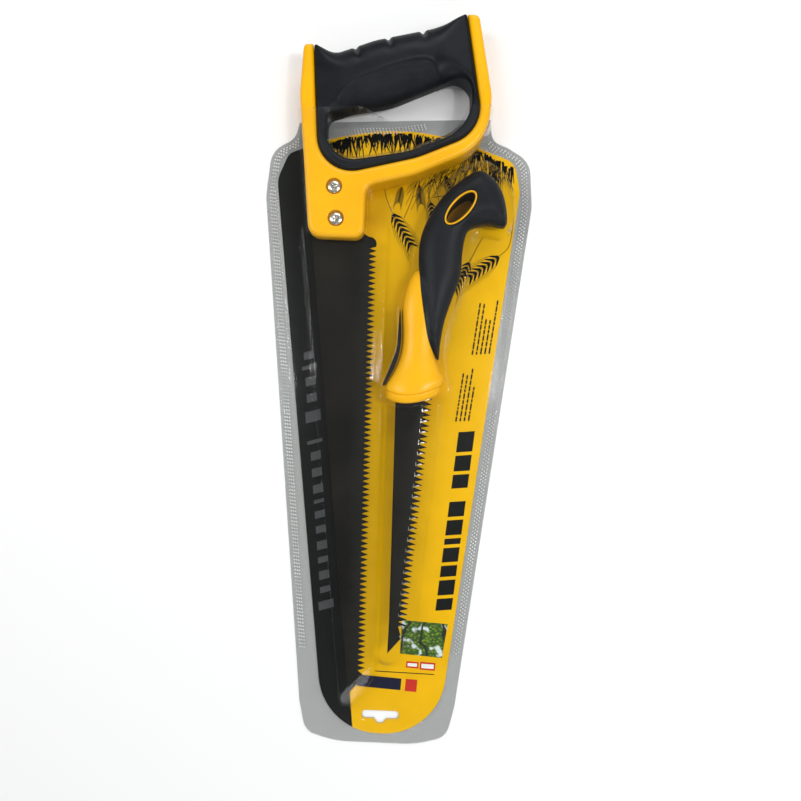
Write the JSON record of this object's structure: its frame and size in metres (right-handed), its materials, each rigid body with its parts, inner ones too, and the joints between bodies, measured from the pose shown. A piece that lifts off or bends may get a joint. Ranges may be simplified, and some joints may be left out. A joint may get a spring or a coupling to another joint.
{
  "type": "packed pruning saw set",
  "caption": "Tapered clear pack welded round a printed card, holding a D-handled pruning saw and a narrow pistol-grip pruning saw, with a hanging slot.",
  "frame": {"origin": "on the rear shell's flat back face, on the pack's centre line, 213 mm from the pack's narrow end", "axes": "+Y along the pack from the hanging slot to the large saw's grip, +X to the right seen from the front, +Z out of the front"},
  "size_m": [0.183, 0.4919, 0.0284],
  "materials": {
    "clear_plastic": "thin clear thermoformed sheet, knurled where it is welded",
    "printed_card": "coated board printed yellow with a black band",
    "yellow_plastic": "moulded yellow plastic, satin",
    "black_rubber": "soft black overmould, fine grain on the grip pad",
    "coated_steel": "dark low-friction coating, ground tooth faces",
    "bright_steel": "bright plated screws"
  },
  "bodies": {
    "root": {"rear_shell": "clear_plastic", "backing_card": "printed_card", "front_shell": "clear_plastic", "large_blade": "coated_steel", "large_handle_frame": "yellow_plastic", "large_handle_grip": "black_rubber", "handle_screw_upper": "bright_steel", "handle_screw_lower": "bright_steel", "sleeve_nut_upper": "bright_steel", "sleeve_nut_lower": "bright_steel", "small_blade": "coated_steel", "small_handle_core": "yellow_plastic", "small_handle_grip": "black_rubber", "small_handle_strip": "black_rubber"}
  },
  "joints": []
}
